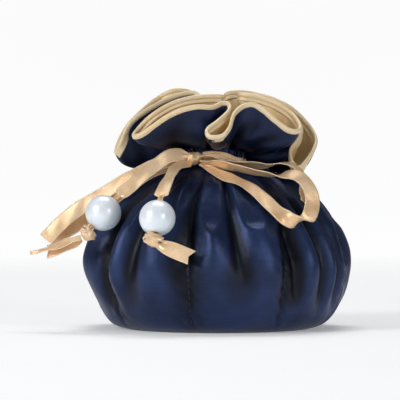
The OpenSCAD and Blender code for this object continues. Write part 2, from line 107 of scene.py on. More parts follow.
LOOP_RIGHT_BACK = [(-5.4, -18.8, 68, -0.3, 0.4, 1, 0.5), (-2, -19.8, 67.3, 0.1, 0.5, 1),
                   (1.5, -21.4, 66.2, 0.2, 0.5, 1), (6.6, -22.6, 65.3, 0, 0.5, 1), (12.4, -23, 65, 0, 0.5, 1),
                   (18.3, -22.4, 64.7, 0, 0.3, 1), (24.2, -22.8, 65.8, 0.1, 0, 1),
                   (28.5, -23, 65.4, 0.5, -0.3, 1), (32, -23.2, 62.8, 0.9, -0.4, 0.5),
                   (33.6, -23.6, 58, 1, -0.7, 0.2), (34, -24.4, 53.4, 1, -1, 0), (34, -27, 50, 0.8, -1, -0.2),
                   (33.4, -30.6, 47, 0.5, -0.9, -0.3)]
LOOP_LEFT = [(-13.6, -16.4, 69.4, -0.2, -0.6, 0.8, 0.5), (-17, -16.8, 68.2, -0.35, -0.8, 0.6),
             (-21.5, -17.2, 66.2, -0.3, -1, 0.5), (-28, -16.6, 63.6, -0.3, -1, 0.5),
             (-35, -16.6, 60, -0.3, -1, 0.5), (-45, -16.4, 54, -0.3, -1, 0.4),
             (-51, -16.4, 50.4, -0.3, -1, 0.3), (-57, -16.4, 46.4, -0.3, -1, 0.2),
             (-62.4, -16.4, 41.8, -0.4, -1, 0), (-66.6, -16.2, 37.4, -0.6, -0.8, -0.3),
             (-68, -14.8, 35.8, -0.7, 0, -0.7), (-66.6, -13.4, 36.4, -0.3, 0.8, -0.6),
             (-62.4, -12.8, 38, 0.1, 1, -0.5), (-56.8, -12.8, 40.8, 0.2, 1, -0.4),
             (-51.7, -12.8, 44.4, 0.3, 1, -0.4), (-42.8, -13, 50.8, 0.3, 1, -0.4),
             (-35, -13.2, 56.8, 0.3, 1, -0.4), (-28, -13.8, 62, 0.3, 1, -0.4),
             (-20.5, -13.2, 65, 0.3, 1, -0.4), (-14, -13.4, 66.8, 0.2, 1, -0.3, 0.5)]
TAIL_LEFT = [(-13.6, -18.6, 70.4, -0.2, -1, 0.3, 0.5), (-18.6, -19.6, 68.8, -0.3, -1, 0.4),
             (-23.8, -20.8, 65.6, -0.3, -1, 0.5), (-29.8, -22.6, 60.8, -0.3, -1, 0.6),
             (-34.6, -24, 56.6, -0.3, -1, 0.6), (-36.6, -24.6, 54.9, -0.3, -1, 0.5, 0.8),
             (-39, -25.3, 53.1, -0.3, -1, 0.5, 0.36), (-45, -27, 46.4, -0.3, -1, 0.5, 0.36),
             (-48.4, -28, 42.4, -0.3, -1, 0.5, 0.36), (-50, -28.4, 40.4, -0.3, -1, 0.5, 0.36)]
TAIL_FRONT = [(-12.4, -21, 65.2, -0.4, -1, 0.4, 0.5), (-16.4, -25, 64.2, -0.5, -0.9, 0.6),
              (-18.6, -30.4, 61.2, -0.5, -0.8, 0.7), (-20.2, -35.4, 58.6, -0.5, -0.7, 0.7),
              (-21.4, -40, 55.6, -0.3, -0.8, 0.7, 0.8), (-22.3, -43.4, 52.8, -0.2, -0.9, 0.5, 0.36),
              (-23.6, -47.6, 44.9, -0.1, -1, 0.3, 0.36), (-24.6, -50.5, 39.6, 0, -1, 0.2, 0.36)]
STOP_LEFT = (-51.4, -28.9, 38.6)
STOP_FRONT = (-25.2, -52.2, 36.8)
TIP_LEFT_WIDE = [(-53.6, -28.4, 36.4, -0.2, -1, 0.4, 0.5), (-56.6, -27.8, 34.8, -0.1, -1, 0.7, 0.9),
                 (-61, -26.8, 33, 0, -1, 1), (-66.4, -25.6, 31.4, 0, -1, 0.8)]
TIP_LEFT_THIN = [(-53.6, -30.2, 37, -0.2, -0.6, 1, 0.4), (-58, -30.4, 35.6, 0.1, -0.5, 1, 0.7),
                 (-64, -29.2, 33.2, 0.1, -0.5, 1, 0.7), (-70, -27.2, 31.4, 0.1, -0.5, 1, 0.5),
                 (-73.6, -26, 30.6, 0.1, -0.5, 1, 0.15)]
TIP_FRONT = [(-23.2, -53.4, 35.2, 0, -1, 0.2, 0.6), (-20, -54.2, 33.8, 0.1, -1, 0.2, 0.9),
             (-16, -54.6, 32.2, 0.1, -1, 0.1), (-11.6, -54.8, 30.4, 0.2, -1, 0.1)]

# Long folds of the side: where round, half width and depth out, from which height down to which, and lean
SIDE_FOLDS = ((266, 5.5, 2.4, 58, 30, 4), (256, 3.5, -2.0, 60, 24, -3), (276, 3.5, -2.2, 60, 22, 5),
              (243, 6, 2.0, 60, 34, -8), (232, 4, -1.8, 58, 20, -6), (222, 5, 1.8, 50, 16, -5),
              (210, 3.5, -2.4, 44, 11, -2), (289, 9, 0.8, 56, 30, 3), (304, 3.2, -2.7, 42, 14, 4),
              (312, 4.5, 1.2, 52, 24, 4), (319, 3, -2.0, 50, 14, 5), (326, 3, 1.8, 44, 12, 3),
              (333, 3, -2.0, 46, 10, 4), (345, 5, 1.6, 54, 22, 2), (358, 5, -1.8, 56, 18, 0),
              (14, 6, 1.6, 58, 26, -4), (30, 4, -1.8, 58, 20, 3), (48, 6, 1.8, 56, 28, 5),
              (66, 4, -2.0, 58, 22, -5), (84, 6, 1.7, 58, 24, 4), (104, 4, -1.9, 56, 20, 6),
              (122, 6, 1.8, 58, 30, -5), (140, 4, -1.8, 58, 18, -3), (158, 6, 1.6, 56, 26, 4),
              (176, 4, -1.9, 58, 20, 5), (196, 5, 1.7, 56, 22, -4))
FOLD_LIMIT = 1.7
BEAD_BORE = 1.75
# The row of each tie's route that is its bead's centre
BEAD_PLACE = {"left": 7, "front": 6}
# How wide a tie is where it runs through its bead, and where it opens out above, from the bead's surface
PINCH = 0.36
PINCH_REACH = (1.9, 3.3)
# The white bowl round the floor, radius and height in metres, and where it fades into the floor
BOWL = [(0.22, 0.0004), (0.5, 0.0008), (0.8, 0.002), (1.2, 0.008), (1.7, 0.03), (2.3, 0.12), (2.8, 0.4),
        (3.1, 1.0), (3.2, 2.0), (3.2, 5.0)]
BOWL_FADE = (0.22, 0.75)
BOWL_STEPS = 96
# The point that the camera and lights face, and the lights: turn, tilt, size, watts and distance
TARGET = Vector((-0.0072, 0, 0.051))
LIGHTS = {"softbox_left": (-52, 22, (0.35, 0.55), 7.0, 1.2), "softbox_right": (38, 12, (0.22, 0.5), 3.6, 1.3),
          "overhead": (170, 72, (0.7, 0.5), 7.0, 1.2)}
SENSOR = 36


# ---- curves ----

def unit(v):
    return v / np.maximum(np.linalg.norm(v, axis=-1, keepdims=True), 1e-12)


def curve_at(points, u, closed=False):
    """Points on the smooth curve through a list, at places u counted in points."""
    p = np.asarray(points, float)
    n = len(p)
    i = np.floor(u).astype(int)
    if closed:
        near = [p[(i + k) % n] for k in (-1, 0, 1, 2)]
    else:
        i = np.clip(i, 0, n - 2)
        near = [p[np.clip(i + k, 0, n - 1)] for k in (-1, 0, 1, 2)]
    a, b, c, d = near
    t = (u - i)[:, None]
    bend = 2 * a - 5 * b + 4 * c - d
    twist = 3 * b - a - 3 * c + d
    return 0.5 * (2 * b + t * (c - a) + t ** 2 * bend + t ** 3 * twist)


def even_curve(points, count, closed=False, ends=(0.0, 1.0)):
    """The smooth curve cut into equal lengths."""
    top = len(points) if closed else len(points) - 1
    u = np.linspace(0, top, top * 24 + 1)
    if closed:
        fine = curve_at(points, u[:-1], True)
        fine = np.vstack([fine, fine[:1]])
    else:
        fine = curve_at(points, u)
    run = np.concatenate([[0], np.cumsum(np.linalg.norm(np.diff(fine[:, :3], axis=0), axis=1))])
    s = np.linspace(ends[0], ends[1], count + 1)[:-1] if closed else np.linspace(ends[0], ends[1], count)
    return curve_at(points, np.interp(s * run[-1], run, u), closed)


def smoothstep(a, b, x):
    t = np.clip((x - a) / (b - a), 0, 1)
    return t * t * (3 - 2 * t)


def waves(x, seed, low, high, count=6):
    """A smooth random wave round the bag: x in degrees, low to high cycles a turn, about -1 to 1."""
    rng = np.random.RandomState(seed)
    out = np.zeros_like(x, dtype=float)
    for _ in range(count):
        out += np.sin(np.radians(x) * rng.randint(low, high + 1) + rng.uniform(0, 6.28))
    return out / math.sqrt(count)


# ---- meshes ----

def new_piece(name, verts, faces, uvs=None):
    mesh = bpy.data.meshes.new(name)
    mesh.from_pydata([tuple(v) for v in verts], [], faces)
    if uvs is not None:
        layer = mesh.uv_layers.new(name="UVMap")
        loops = np.empty(len(mesh.loops), dtype=np.int32)
        mesh.loops.foreach_get("vertex_index", loops)
        layer.data.foreach_set("uv", np.asarray(uvs, np.float32)[loops].ravel())
    mesh.polygons.foreach_set("use_smooth", [True] * len(mesh.polygons))
    mesh.update()
    piece = bpy.data.objects.new(name, mesh)
    bpy.context.scene.collection.objects.link(piece)
    return piece


def grid_faces(rows, cols, closed):
    last = cols if closed else cols - 1
    return [(j * cols + k, j * cols + (k + 1) % cols, (j + 1) * cols + (k + 1) % cols, (j + 1) * cols + k)
            for j in range(rows - 1) for k in range(last)]


def select_only(piece):
    bpy.ops.object.select_all(action="DESELECT")
    piece.select_set(True)
    bpy.context.view_layer.objects.active = piece


def face_outwards(piece):
    shape = bmesh.new()
    shape.from_mesh(piece.data)
    bmesh.ops.recalc_face_normals(shape, faces=shape.faces)
    shape.to_mesh(piece.data)
    shape.free()


def apply_modifier(piece, kind, **settings):
    select_only(piece)
    modifier = piece.modifiers.new(kind.title(), kind)
    for key, value in settings.items():
        setattr(modifier, key, value)
    bpy.ops.object.modifier_apply(modifier=modifier.name)


def wear(piece, body, slot, material, *nodes):
    """Puts a piece on its body, gives it its finish and hides the plain solids that it stands for."""
    piece.data.materials.clear()
    piece.data.materials.append(material)
    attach(piece, body)
    if nodes:
        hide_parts(*nodes)


# ---- shader maths ----

# One full wave for each millimetre, on a measure in metres
TURN_MM = 6283.0


class Wire:
    """A node socket with arithmetic: each operator adds a Math node."""

    def __init__(self, kit, socket):
        self.kit = kit
        self.socket = socket

    def _math(self, operation, *values):
        return self.kit.node("ShaderNodeMath", {"operation": operation}, *values)

    def __add__(self, other):
        return self._math("ADD", self, other)

    def __sub__(self, other):
        return self._math("SUBTRACT", self, other)

    def __mul__(self, other):
        return self._math("MULTIPLY", self, other)

    def __radd__(self, other):
        return self._math("ADD", other, self)

    def __rsub__(self, other):
        return self._math("SUBTRACT", other, self)

    def __rmul__(self, other):
        return self._math("MULTIPLY", other, self)

    def sin(self):
        return self._math("SINE", self)

    def abs(self):
        return self._math("ABSOLUTE", self)


class Finish:
    """One material and its nodes."""

    def __init__(self, name, **sockets):
        self.material = bpy.data.materials.new(name)
        self.material.use_nodes = True
        self.tree = self.material.node_tree
        self.shader = self.tree.nodes["Principled BSDF"]
        for key, value in sockets.items():
            self.shader.inputs[key.replace("_", " ")].default_value = value

    def node(self, kind, settings, *values, out=0, **named):
        made = self.tree.nodes.new(kind)
        for key, value in settings.items():
            setattr(made, key, value)
        for place, value in list(enumerate(values)) + list(named.items()):
            key = place if isinstance(place, int) else place.replace("_", " ")
            if isinstance(value, Wire):
                self.tree.links.new(value.socket, made.inputs[key])
            elif value is not None:
                made.inputs[key].default_value = value
        return Wire(self, made.outputs[out])

    def uv(self):
        """The cloth's own measure: u round and v up, in metres."""
        at = self.node("ShaderNodeUVMap", {"uv_map": "UVMap"})
        split = self.node("ShaderNodeSeparateXYZ", {}, at)
        return at, split, Wire(self, split.socket.node.outputs[1])

    def place(self):
        return self.node("ShaderNodeTexCoord", {}, out=3)

    def noise(self, at, scale, detail=3.0, roughness=0.5):
        return self.node("ShaderNodeTexNoise", {}, Vector=at, Scale=scale, Detail=detail, Roughness=roughness)

    def stretched(self, at, scale):
        return self.node("ShaderNodeMapping", {}, Vector=at, Scale=scale)

    def blend(self, factor, a, b):
        made = self.tree.nodes.new("ShaderNodeMix")
        made.data_type = "RGBA"
        for key, value in ((0, factor), (6, a), (7, b)):
            if isinstance(value, Wire):
                self.tree.links.new(value.socket, made.inputs[key])
            else:
                made.inputs[key].default_value = value if key == 0 else (*value[:3], 1)
        return Wire(self, made.outputs[2])

    def spread(self, value, low, high, to_low=0.0, to_high=1.0):
        """Carries low to high onto another range."""
        return self.node("ShaderNodeMapRange", {"clamp": True}, value, low, high, to_low, to_high)

    def bump(self, height, distance, strength=1.0, under=None):
        return self.node("ShaderNodeBump", {}, Height=height, Distance=distance, Strength=strength,
                         Normal=under)

    def give(self, **links):
        for key, wire in links.items():
            self.tree.links.new(wire.socket, self.shader.inputs[key.replace("_", " ")])
        return self.material


def satin(name, colours, metallic, roughness, thread, relief, shaded=None):
    """Satin of two close tones: fine floats of a thread's width in millimetres, a soft crumple and a cloudy
    change of tone. With a shaded colour, painted shade darkens the deeper folds towards it."""
    deep, bright = colours
    finish = Finish(name, Metallic=metallic, Anisotropic=0.35)
    at, u, v = finish.uv()
    floats = (v * (TURN_MM / thread)).sin()
    warp = (u * (TURN_MM / thread / 2.2)).sin()
    slub = finish.noise(finish.stretched(at, (90, 1600, 1)), 1.0, 2.0)
    cloud = finish.noise(finish.place(), 55.0, 3.0)
    tone = finish.spread(slub * 0.18 + cloud * 0.82, 0.34, 0.66)
    crumple = finish.noise(finish.stretched(finish.place(), (1, 1, 0.6)), 120.0, 5.0, 0.6)
    weave = finish.bump(floats * warp * 0.5 + slub, thread * 0.00012, relief)
    colour = finish.blend(tone, deep, bright)
    # Painted shade: the painted_shade attribute is 0 in the deep fold valleys and 1 on the tops of the folds,
    # and it blends the colour towards the shaded colour. A piece without that attribute, such as the base
    # panel, takes the shaded colour all over.
    if shaded:
        unshaded = finish.node("ShaderNodeAttribute", {"attribute_name": "painted_shade"}, out=2)
        colour = finish.blend(unshaded, shaded, colour)
    return finish.give(
        Base_Color=colour,
        Roughness=finish.spread(tone, 0, 1, roughness - 0.04, roughness + 0.05),
        Normal=finish.bump(crumple, 0.0011, 0.4, weave))


def ribbon_satin(deep, bright):
    """Narrow woven ribbon: fine cross ribs, a firm woven selvedge and warmer shade in the weave."""
    finish = Finish("ribbon_satin", Metallic=0.35, Anisotropic=0.4)
    at, u, v = finish.uv()
    ribs = (v * 12500.0).sin()
    edge = finish.spread((u - 0.5).abs(), 0.415, 0.44)
    picot = (v * 7000.0).sin() * edge
    slub = finish.noise(finish.stretched(at, (14, 1800, 1)), 1.0, 2.0)
    cloud = finish.noise(finish.place(), 120.0, 3.0)
    tone = finish.spread(slub * 0.4 + cloud * 0.6, 0.3, 0.7)
    face = finish.blend(tone, deep, bright)
    return finish.give(
        Base_Color=finish.blend(edge * 0.45, face, (0.93, 0.76, 0.55)),
        Roughness=finish.spread(tone, 0, 1, 0.26, 0.38),
        Normal=finish.bump(ribs * 0.5 + picot * 1.5 + slub, 0.00006, 0.6))


def thread_cotton(name, colour):
    """Sewing thread with its twist, the grooves of the twist darkened with painted shade."""
    finish = Finish(name, Roughness=0.7)
    twist = finish.node("ShaderNodeTexWave", {"wave_type": "BANDS"}, Vector=finish.place(), Scale=900.0)
    return finish.give(Base_Color=finish.blend(twist, tuple(c * 0.7 for c in colour), colour),
                       Normal=finish.bump(twist, 0.0001, 0.5))


def nacre(deep, bright):
    """Imitation pearl: cool white with a faint cloud of grey-blue and cream under a clear coat."""
    finish = Finish("nacre", Roughness=0.3, Metallic=0.12, Coat_Weight=0.6, Coat_Roughness=0.3)
    cloud = finish.noise(finish.place(), 130.0, 2.0)
    skin = finish.noise(finish.place(), 900.0, 2.0)
    tone = finish.spread(cloud, 0.35, 0.65)
    return finish.give(Base_Color=finish.blend(tone, deep, bright),
                       Roughness=finish.spread(cloud, 0.3, 0.7, 0.27, 0.36),
                       Normal=finish.bump(skin, 0.00004, 0.25))


def board():
    """Grey-brown card with short fibres."""
    finish = Finish("board", Roughness=0.85)
    fibre = finish.noise(finish.place(), 700.0, 5.0)
    return finish.give(Base_Color=finish.blend(fibre, (0.38, 0.30, 0.20), (0.60, 0.50, 0.36)),
                       Normal=finish.bump(fibre, 0.0002, 0.4))


def cotton_elastic():
    """Ribbed elastic cord, cream, darker between its ribs with painted shade."""
    finish = Finish("cotton_elastic", Roughness=0.8)
    rib = finish.node("ShaderNodeTexWave", {"wave_type": "BANDS"}, Vector=finish.place(), Scale=600.0)
    return finish.give(Base_Color=finish.blend(rib, (0.62, 0.58, 0.48), (0.86, 0.82, 0.72)),
                       Normal=finish.bump(rib, 0.0002, 0.5))


def pale_floor():
    """Pale paper, a little lit from below."""
    finish = Finish("pale_floor", Roughness=0.8, Emission_Color=(1, 1, 1, 1), Emission_Strength=0.22)
    mottle = finish.noise(finish.place(), 4.0, 3.0)
    return finish.give(Base_Color=finish.blend(mottle, (0.86, 0.86, 0.86), (0.90, 0.90, 0.90)))


def backdrop():
    """A white glow that fades into the floor."""
    finish = Finish("backdrop", Roughness=0.9, Emission_Strength=0.97, Base_Color=(0, 0, 0, 1))
    reach = finish.node("ShaderNodeVectorMath", {"operation": "LENGTH"}, finish.place(), out=1)
    paper = finish.blend(finish.noise(finish.place(), 2.0), (1, 1, 1), (0.98, 0.98, 0.98))
    return finish.give(Emission_Color=paper, Alpha=finish.spread(reach, *BOWL_FADE))


FINISHES = {}


def finish_of(key):
    """The material of that name, made when it is first wanted."""
    look = bpy.context.scene.pouch
    makers = {
        "navy": lambda: satin("navy_satin", (look.navy_deep, look.navy_bright), 0.6, 0.40, 0.24, 0.4,
                              look.navy_shaded),
        "lining": lambda: satin("gold_lining_satin", (look.lining_deep, look.lining_bright), 0.25, 0.42,
                                0.24, 0.5),
        "binding": lambda: satin("gold_binding_satin", (look.binding_deep, look.binding_bright), 0.15, 0.42,
                                 0.3, 0.6),
        "ribbon": lambda: ribbon_satin(look.ribbon_deep, look.ribbon_bright),
        "thread": lambda: thread_cotton("navy_thread", look.thread),
        "nacre": lambda: nacre(look.pearl_deep, look.pearl_bright),
        "board": board,
        "elastic": cotton_elastic,
        "floor": pale_floor,
        "backdrop": backdrop,
    }
    if key not in FINISHES:
        FINISHES[key] = makers[key]()
    return FINISHES[key]


# ---- the cloth ----

AROUND = 420
BODY_ROWS = 72
FRILL_ROWS = 28
CLOTH_T = 0.4
CASING_GAP = 1.2
SIM_SCALE = 0.01
SIM_FRAMES = 26


def neck_angles():
    return NECK_START + 360.0 * np.arange(AROUND) / AROUND


def gathers(angle, along):
    """Height of the small tucks that the drawstring makes, at a distance along the cloth from the casing."""
    slide = 5.0 * waves(angle, 3, 2, 9) + 0.35 * along * waves(angle, 4, 3, 8)
    fine = np.cos(np.radians(angle + slide) * 34) + 0.5 * np.cos(np.radians(angle - slide) * 23 + 2.0)
    deep = np.clip(0.75 + 0.5 * waves(angle, 8, 3, 9), 0.15, 1.5)
    reach = np.maximum(8 + 5 * waves(angle, 11, 3, 12), 4)
    return 0.6 * deep * fine * np.exp(-((along / reach) ** 2))


def seam_pull(angle, z):
    """How far the pocket seams draw the side in, with small puckers beside each."""
    off = (angle - SEAM_TURN + 22.5) % 45 - 22.5
    mm = off * 0.87
    side = smoothstep(0.5, 5, z) * (1 - smoothstep(34, 46, z))
    groove = -1.1 * np.exp(-((mm / 1.6) ** 2)) - 0.9 * np.exp(-((mm / 6.0) ** 2))
    pucker = 0.3 * np.sin(z * 1.15 + 0.8 * np.sign(mm) + angle) * np.exp(-((mm / 4.5) ** 2))
    return side * (groove + pucker)


def long_folds(angle, z):
    """How far the long slack folds that run down the side from the neck stand out."""
    out = np.zeros_like(angle)
    for middle, width, depth, top, bottom, lean in SIDE_FOLDS:
        off = (angle - middle - lean * (50 - z) / 30 + 180) % 360 - 180
        wide = width * (1 - 0.5 * smoothstep(42, 62, z))
        out += depth * np.exp(-((off / wide) ** 2)) * smoothstep(bottom - 7, bottom + 7, z) * (
            1 - smoothstep(top - 3, top + 5, z))
    lean = angle + 9 * math.sin(z * 0.05)
    return out + 0.28 * waves(lean, 21, 9, 18) * smoothstep(4, 22, z) * (1 - smoothstep(50, 62, z))


def settle(rows, normals):
    """Lets the slack cloth below the casing buckle and sag as real cloth: gives each point's move outward."""
    coarse = rows[:BODY_ROWS:2, ::2]
    n, m = coarse.shape[:2]
    bag = new_piece("settling_cloth", coarse.reshape(-1, 3) * SIM_SCALE, grid_faces(n, m, True))
    bag.shape_key_add(name="as_gathered")
    cut = bag.shape_key_add(name="as_cut")
    height = coarse[:, :, 2].mean(axis=1)
    slack = 1.03 + 0.10 * smoothstep(4, 30, height) + 0.10 * smoothstep(34, 58, height)
    flat = coarse * np.stack([slack, slack, np.full(n, 1.02)], axis=1)[:, None, :]
    cut.data.foreach_set("co", (flat * SIM_SCALE).ravel())
    pins = bag.vertex_groups.new(name="pins")
    held = [j for j in range(n) if height[j] < 2.4 or height[j] > 64.5]
    pins.add([j * m + k for j in held for k in range(m)], 1.0, "REPLACE")
    near = [j for j in range(n) if j not in held and (height[j] < 4.5 or height[j] > 62)]
    pins.add([j * m + k for j in near for k in range(m)], 0.4, "REPLACE")
    cloth_modifier = bag.modifiers.new("Settle", "CLOTH")
    rules = cloth_modifier.settings
    rules.quality = 7
    rules.mass = 0.12
    rules.tension_stiffness = rules.compression_stiffness = 18
    rules.shear_stiffness = 6
    rules.bending_stiffness = 0.35
    rules.air_damping = 2.0
    rules.use_pressure = True
    rules.uniform_pressure_force = 1.2
    rules.vertex_group_mass = "pins"
    rules.rest_shape_key = cut
    cloth_modifier.collision_settings.use_collision = False
    cloth_modifier.point_cache.frame_end = SIM_FRAMES
    scene = bpy.context.scene
    for step in range(1, SIM_FRAMES + 1):
        scene.frame_set(step)
    shown = bag.evaluated_get(bpy.context.evaluated_depsgraph_get())
    co = np.empty(n * m * 3)
    shown.data.vertices.foreach_get("co", co)
    moved = co.reshape(n, m, 3) / SIM_SCALE - coarse
    scene.frame_set(1)
    bpy.data.objects.remove(bag)
    push = (moved * normals[:BODY_ROWS:2, ::2]).sum(axis=2)
    push = np.concatenate([push, push[:, :1]], axis=1)
    fine = np.array([np.interp(np.arange(AROUND) / 2, np.arange(m + 1), row) for row in push])
    down = np.array([np.interp(np.arange(BODY_ROWS) / 2, np.arange(n), fine[:, k]) for k in range(AROUND)]).T
    for _ in range(7):
        down = (2 * down + np.roll(down, 1, axis=1) + np.roll(down, -1, axis=1)) / 4
        down[1:-1] = (2 * down[1:-1] + down[2:] + down[:-2]) / 4
    down -= down.mean(axis=1, keepdims=True)
    return FOLD_LIMIT * np.tanh(down / FOLD_LIMIT)


def cloth_middle():
    """The cloth's middle surface, rows of points in millimetres, the way out of the bag at each point, and
    each point's painted shade, 0 darkest and 1 unshaded.
    """
    angle = neck_angles()
    turn = np.stack([np.cos(np.radians(angle)), np.sin(np.radians(angle)), np.zeros(AROUND)], axis=1)
    profile = even_curve([(r, 0, z) for r, z in BODY], BODY_ROWS)
    slope = unit(np.gradient(profile, axis=0))
    run = np.concatenate([[0], np.cumsum(np.linalg.norm(np.diff(profile, axis=0), axis=1))])
    rows = profile[:, :1, None] * turn + profile[:, 2:, None] * UP
    normals = slope[:, 2][:, None, None] * turn - slope[:, 0][:, None, None] * UP
    push = np.array([gathers(angle, np.full(AROUND, max(run[-1] - 7.0 - run[j], 0)))
                     + seam_pull(angle, profile[j, 2]) + long_folds(angle, profile[j, 2])
                     for j in range(BODY_ROWS)]) * smoothstep(0, 3, run)[:, None]
    wrinkled = push + settle(rows + push[:, :, None] * normals, normals) * smoothstep(1, 6, run)[:, None]
    upper = smoothstep(36, 44, profile[:, 2:])
    wrinkled = np.minimum(wrinkled, 3.0 - upper * (2.1 + 1.4 * np.exp(-(((angle - 289) / 9.0) ** 2))))
    free = 1 - smoothstep(63.5, 66.6, profile[:, 2:])
    push = free * wrinkled + (1 - free) * np.clip(push, -0.15, 0.9)
    # Painted shade on the body: darkest in the deepest fold valleys, none on the tops of the folds
    shade = [smoothstep(-2.4, 0.1, row) for row in push]
    rows = list(rows + push[:, :, None] * normals)
    edge = even_curve(MOUTH, AROUND, True)
    foot = profile[-1, 0] * turn + profile[-1, 2] * UP
    flat = (edge - foot) * (1, 1, 0)
    rise = (edge - foot)[:, 2:] * UP
    front = np.maximum(0, np.cos(np.radians(angle - FRONT)))
    low = ((13 - 11 * front ** 0.7) * np.minimum(1, np.linalg.norm(flat, axis=1) / 20))[:, None] * UP
    frill = [rows[-1] - push[-1][:, None] * normals[-1]]
    for j in range(1, FRILL_ROWS + 1):
        u = j / FRILL_ROWS
        frill.append((1 - u) ** 3 * foot + 3 * (1 - u) ** 2 * u * (foot + 0.3 * flat - low)
                     + 3 * (1 - u) * u * u * (foot + 0.92 * flat + 0.3 * rise - low) + u ** 3 * edge)
    frill = np.array(frill)
    out = outward_of(frill)
    for j in range(1, FRILL_ROWS + 1):
        u = j / FRILL_ROWS
        tuck = gathers(angle, np.full(AROUND, 9.0 * u)) * (1 - u)
        lean = angle + 5 * math.sin(4 * u)
        ripple = 0.75 * waves(lean, 41, 9, 20) + 0.45 * waves(lean, 43, 22, 40)
        crease = math.sin(math.pi * u ** 0.8) * ripple
        rows.append(frill[j] + (tuck + crease)[:, None] * out[j])
        # Painted shade on the frill: darker in its creases and towards the neck
        shade.append(smoothstep(-1.1, 0.9, tuck + crease) * (0.35 + 0.65 * u))
    return np.array(rows), np.concatenate([normals, out[1:]]), np.array(shade)


def outward_of(rows):
    along = np.roll(rows, -1, axis=1) - np.roll(rows, 1, axis=1)
    up = np.gradient(rows, axis=0)
    return unit(np.cross(along, up))


CLOTH = {}


def cloth():
    if not CLOTH:
        CLOTH["rows"], CLOTH["out"], CLOTH["shade"] = cloth_middle()
        CLOTH["edge"] = CLOTH["rows"][-1]
    return CLOTH


def cloth_uv(rows):
    """Distances round and up the cloth in metres."""
    run = np.cumsum(np.linalg.norm(np.diff(rows, axis=0), axis=2).mean(axis=1))
    up = np.concatenate([[0], run])[:, None] * np.ones((1, rows.shape[1]))
    round_ = np.linspace(0, 320, rows.shape[1])[None, :] * np.ones((len(rows), 1))
    return np.stack([round_, up], axis=2).reshape(-1, 2) * MM


def cloth_layer(name, inner, outer):
    """One layer of cloth between two distances from the middle surface, closed at its base and mouth."""
    made = cloth()
    height = made["rows"][:, :, 2].mean(axis=1)
    casing = smoothstep(64.5, 66.5, height) * (1 - smoothstep(72.0, 74.0, height)) * (inner < -0.1)
    away = -CASING_GAP * casing[:, None, None] * (np.arange(len(height)) < BODY_ROWS)[:, None, None]
    out_side = made["rows"] + (outer + away) * made["out"]
    in_side = made["rows"] + (inner + away) * made["out"]
    n = out_side.shape[0] * AROUND
    faces = grid_faces(len(out_side), AROUND, True)
    faces += [tuple(n + v for v in reversed(face)) for face in faces]
    for k in range(AROUND):
        m, top = (k + 1) % AROUND, n - AROUND
        faces.append((m, k, n + k, n + m))
        faces.append((top + k, top + m, n + top + m, n + top + k))
    uvs = cloth_uv(out_side)
    verts = np.concatenate([out_side.reshape(-1, 3), in_side.reshape(-1, 3)]) * MM
    piece = new_piece(name, verts, faces, np.concatenate([uvs, uvs]))
    # The painted shade of each point, for the navy satin to darken its folds with
    light = piece.data.attributes.new("painted_shade", "FLOAT", "POINT")
    light.data.foreach_set("value", np.tile(made["shade"].ravel(), 2).astype(np.float32))
    return piece


# ---- ribbons ----

RIBBON_T = 0.32
RIBBON_SIDES = 13
NOTCH_ROWS = 8


def ribbon_frames(route, count):
    rows = [tuple(p) + ((1,) if len(p) == 6 else ()) for p in route]
    line = even_curve(rows, count)
    at = line[:, :3]
    along = unit(np.gradient(at, axis=0))
    across = unit(np.cross(along, line[:, 3:6]))
    face = unit(np.cross(across, along))
    return at, along, across, face, line[:, 6]


def ribbon_piece(name, route, seed, count=90, crease=0.5, notch=None, bead=None):
    """A flat ribbon swept along its route, scrunched where the route makes it narrower and at its bead."""
    at, along, across, face, share = ribbon_frames(route, count)
    if bead:
        radius = bpy.context.scene.pouch.bead_diameter / MM / 2
        reach = np.linalg.norm(at - np.array(bead), axis=1)
        before = np.arange(count) < reach.argmin()
        free = smoothstep(radius + PINCH_REACH[0], radius + PINCH_REACH[1], reach) * before
        start = smoothstep(0, 4, np.linalg.norm(at - at[0], axis=1))
        share = PINCH + 0.6 * start * free
    rng = np.random.RandomState(seed)
    sides = RIBBON_SIDES
    full = bpy.context.scene.pouch.ribbon_width / MM
    run = np.concatenate([[0], np.cumsum(np.linalg.norm(np.diff(at, axis=0), axis=1))])
    s = np.linspace(-1, 1, sides)
    phase = rng.uniform(0, 6.28, 4)
    top = []
    for i in range(count):
        width = full / 2 * share[i]
        pleat = (1 - share[i]) * 0.6
        lift = (pleat * np.cos(s * 6.0 + phase[0]) + crease * 0.35 * np.sin(run[i] * 0.33 + phase[1]) * s
                + crease * 0.22 * np.sin(run[i] * 0.61 + 2.2 * s + phase[2]) + 0.18 * (1 - s * s))
        shift = 0.0
        if notch and i > count - NOTCH_ROWS:
            shift = notch * (0.35 * s - np.abs(s)) * (i - count + NOTCH_ROWS) / NOTCH_ROWS
        top.append(at[i] + s[:, None] * width * across[i] + lift[:, None] * face[i]
                   + np.outer(np.full(sides, 1.0) * shift, along[i]))
    top = np.array(top)
    half = RIBBON_T / 2 * face[:, None, :]
    ring = np.concatenate([top + half, (top - half)[:, ::-1]], axis=1)
    cols = ring.shape[1]
    u = np.concatenate([(s + 1) / 2, (s[::-1] + 1) / 2])
    v = np.repeat(run[:, None] * MM, cols, axis=1)
    uvs = np.stack([np.tile(u, (count, 1)), v], axis=2).reshape(-1, 2)
    faces = grid_faces(count, cols, True)
    for k in range(sides - 1):
        faces.append((k + 1, k, cols - 1 - k, cols - 2 - k))
        e = (count - 1) * cols
        faces.append((e + k, e + k + 1, e + cols - 2 - k, e + cols - 1 - k))
    piece = new_piece(name, ring.reshape(-1, 3) * MM, faces, uvs)
    return piece, at


def path_of(at):
    """A route in metres."""
    return [tuple(p * MM) for p in at]


